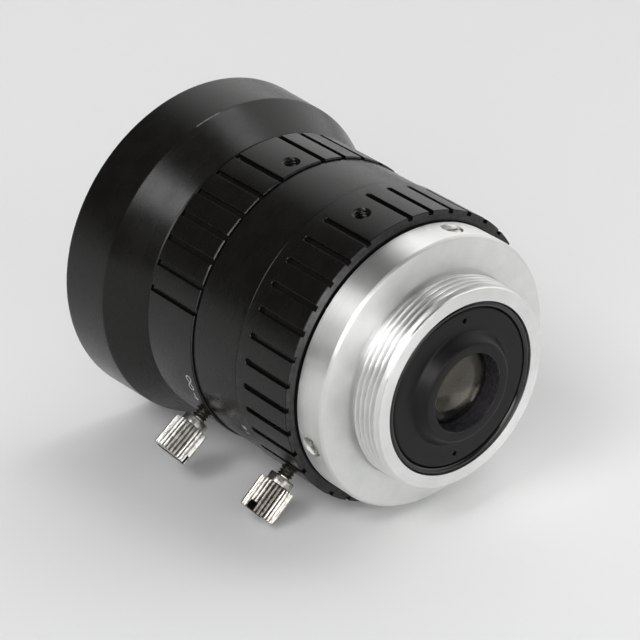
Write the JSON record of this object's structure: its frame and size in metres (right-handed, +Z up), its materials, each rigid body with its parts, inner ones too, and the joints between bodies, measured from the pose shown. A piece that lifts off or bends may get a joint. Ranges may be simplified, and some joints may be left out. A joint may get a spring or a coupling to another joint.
{
  "type": "machine vision lens",
  "caption": "Manual lens with a threaded camera mount, slotted focus and iris rings with lock screws, a bladed diaphragm and a flared front hood.",
  "frame": {"origin": "on the table plane, under the middle of the bounding box; the optical axis runs 20.9 mm above it", "axes": "optical axis along Y: front (hood) towards -Y, camera mount towards +Y; +Z up as the lens lies on its side"},
  "size_m": [0.0418, 0.0488, 0.0418],
  "materials": {
    "black_anodised": "satin black anodised",
    "matt_black": "matt black anodised",
    "bright_aluminium": "bright turned",
    "plated_steel": "plated",
    "nickel_plate": "nickel plated",
    "steel_pin": "ground",
    "blackened_steel": "blackened",
    "coated_glass": "coated",
    "inner_glass": "coated"
  },
  "bodies": {
    "barrel": {"main_barrel": "black_anodised", "mount_ring": "bright_aluminium", "mount_set_screw_1": "plated_steel", "mount_set_screw_2": "plated_steel", "mount_set_screw_3": "plated_steel", "rear_cell": "matt_black", "rear_lens": "coated_glass", "rear_spacer": "matt_black", "rear_flint": "inner_glass", "rear_crown": "inner_glass", "rear_group_ring": "matt_black", "focus_retaining_ring": "matt_black", "focus_guide_pin": "steel_pin", "iris_base_plate": "blackened_steel", "iris_cover_ring": "blackened_steel"},
    "iris_control": {"iris_ring": "black_anodised", "iris_cam_ring": "matt_black", "iris_drive_pin": "steel_pin"},
    "iris_lock": {"iris_lock_screw": "nickel_plate"},
    "focus_control": {"focus_ring": "black_anodised", "focus_drive_pin": "steel_pin"},
    "focus_lock": {"focus_lock_screw": "nickel_plate"},
    "front_group": {"front_hood": "black_anodised", "front_cell": "matt_black", "front_lens": "coated_glass", "front_retaining_ring": "matt_black", "second_lens": "inner_glass", "front_spacer": "matt_black", "third_lens": "inner_glass", "front_group_ring": "matt_black"},
    "blade_1": {"iris_blade_1": "blackened_steel"},
    "blade_2": {"iris_blade_2": "blackened_steel"},
    "blade_3": {"iris_blade_3": "blackened_steel"},
    "blade_4": {"iris_blade_4": "blackened_steel"},
    "blade_5": {"iris_blade_5": "blackened_steel"},
    "blade_6": {"iris_blade_6": "blackened_steel"}
  },
  "joints": [
    {"name": "focus_turn", "type": "hinge", "parent": "barrel", "child": "focus_control", "pos_m": [0, -0.00302, 0.0209], "axis": [0, -1, 0], "range_deg": [0, 100]},
    {"name": "focus_travel", "type": "slide", "parent": "barrel", "child": "front_group", "axis": [0, -1, 0], "range_m": [0, 0.0006]},
    {"name": "iris_turn", "type": "hinge", "parent": "barrel", "child": "iris_control", "pos_m": [0, 0.01422, 0.0209], "axis": [0, -1, 0], "range_deg": [0, 75]},
    {"name": "blade_swing_1", "type": "hinge", "parent": "barrel", "child": "blade_1", "pos_m": [0, 0.00932, 0.0305], "axis": [0, -1, 0], "range_deg": [0, 30]},
    {"name": "blade_swing_2", "type": "hinge", "parent": "barrel", "child": "blade_2", "pos_m": [-0.00831, 0.00932, 0.0257], "axis": [0, -1, 0], "range_deg": [0, 30]},
    {"name": "blade_swing_3", "type": "hinge", "parent": "barrel", "child": "blade_3", "pos_m": [-0.00831, 0.00932, 0.0161], "axis": [0, -1, 0], "range_deg": [0, 30]},
    {"name": "blade_swing_4", "type": "hinge", "parent": "barrel", "child": "blade_4", "pos_m": [0, 0.00932, 0.0113], "axis": [0, -1, 0], "range_deg": [0, 30]},
    {"name": "blade_swing_5", "type": "hinge", "parent": "barrel", "child": "blade_5", "pos_m": [0.00831, 0.00932, 0.0161], "axis": [0, -1, 0], "range_deg": [0, 30]},
    {"name": "blade_swing_6", "type": "hinge", "parent": "barrel", "child": "blade_6", "pos_m": [0.00831, 0.00932, 0.0257], "axis": [0, -1, 0], "range_deg": [0, 30]},
    {"name": "focus_lock_turn", "type": "hinge", "parent": "focus_control", "child": "focus_lock", "pos_m": [0.01576, -0.00507, 0.00859], "axis": [0.788, 0, -0.6157], "range_deg": [0, 360]},
    {"name": "iris_lock_turn", "type": "hinge", "parent": "iris_control", "child": "iris_lock", "pos_m": [0.01453, 0.00953, 0.00716], "axis": [0.7266, 0, -0.6871], "range_deg": [0, 360]}
  ],
  "couplings": [
    {"joint": "focus_turn", "follows": "focus_travel", "rad_per_m": 2908.9},
    {"joint": "blade_swing_1", "follows": "iris_turn", "ratio": 0.4},
    {"joint": "blade_swing_2", "follows": "iris_turn", "ratio": 0.4},
    {"joint": "blade_swing_3", "follows": "iris_turn", "ratio": 0.4},
    {"joint": "blade_swing_4", "follows": "iris_turn", "ratio": 0.4},
    {"joint": "blade_swing_5", "follows": "iris_turn", "ratio": 0.4},
    {"joint": "blade_swing_6", "follows": "iris_turn", "ratio": 0.4}
  ]
}
